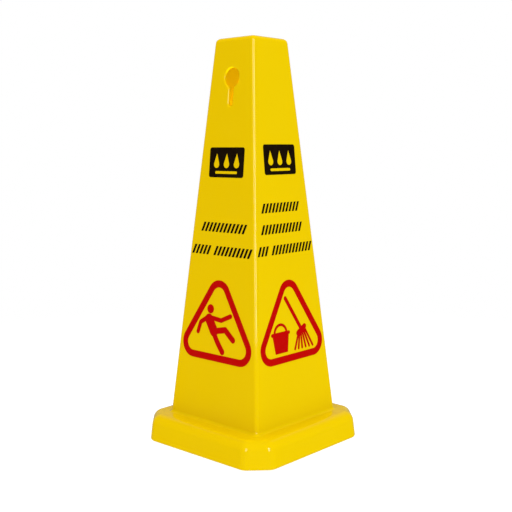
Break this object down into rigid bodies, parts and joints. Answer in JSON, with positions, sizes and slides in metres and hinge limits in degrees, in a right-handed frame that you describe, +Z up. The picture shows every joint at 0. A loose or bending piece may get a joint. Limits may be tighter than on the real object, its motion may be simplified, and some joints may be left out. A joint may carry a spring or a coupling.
{
  "type": "wet floor caution cone",
  "caption": "Four-sided free-standing floor caution cone with a square plinth, keyholes near the top and printed warning symbols.",
  "frame": {"origin": "on the floor under the middle of the cone", "axes": "+Z up, -Y out of the front side, which carries the slip figure and a keyhole, +X out of the right side, which carries the mop and bucket"},
  "size_m": [0.2768, 0.2768, 0.662],
  "materials": {
    "yellow_shell": "smooth moulded polypropylene, glossy yellow",
    "black_print": "smooth black transfer film",
    "red_print": "smooth red transfer film",
    "ballast_rubber": "pressed recycled rubber, coarse",
    "foot_rubber": "moulded rubber",
    "fastener_steel": "zinc plated"
  },
  "bodies": {
    "root": {"cone_shell": "yellow_shell", "ballast_ring": "ballast_rubber", "foot_screws": "fastener_steel", "foot_washers": "fastener_steel", "foot_front_left": "foot_rubber", "foot_front_right": "foot_rubber", "foot_back_left": "foot_rubber", "foot_back_right": "foot_rubber", "front_badge_print": "black_print", "front_upper_stripes": "black_print", "front_lower_stripes": "black_print", "front_triangle_print": "red_print", "front_slip_figure_print": "red_print", "right_badge_print": "black_print", "right_upper_stripes": "black_print", "right_middle_stripes": "black_print", "right_lower_stripes": "black_print", "right_triangle_print": "red_print", "right_bucket_print": "red_print", "right_mop_print": "red_print", "back_badge_print": "black_print", "back_upper_stripes": "black_print", "back_lower_stripes": "black_print", "back_triangle_print": "red_print", "back_slip_figure_print": "red_print", "left_badge_print": "black_print", "left_upper_stripes": "black_print", "left_middle_stripes": "black_print", "left_lower_stripes": "black_print", "left_triangle_print": "red_print", "left_bucket_print": "red_print", "left_mop_print": "red_print"}
  },
  "joints": []
}
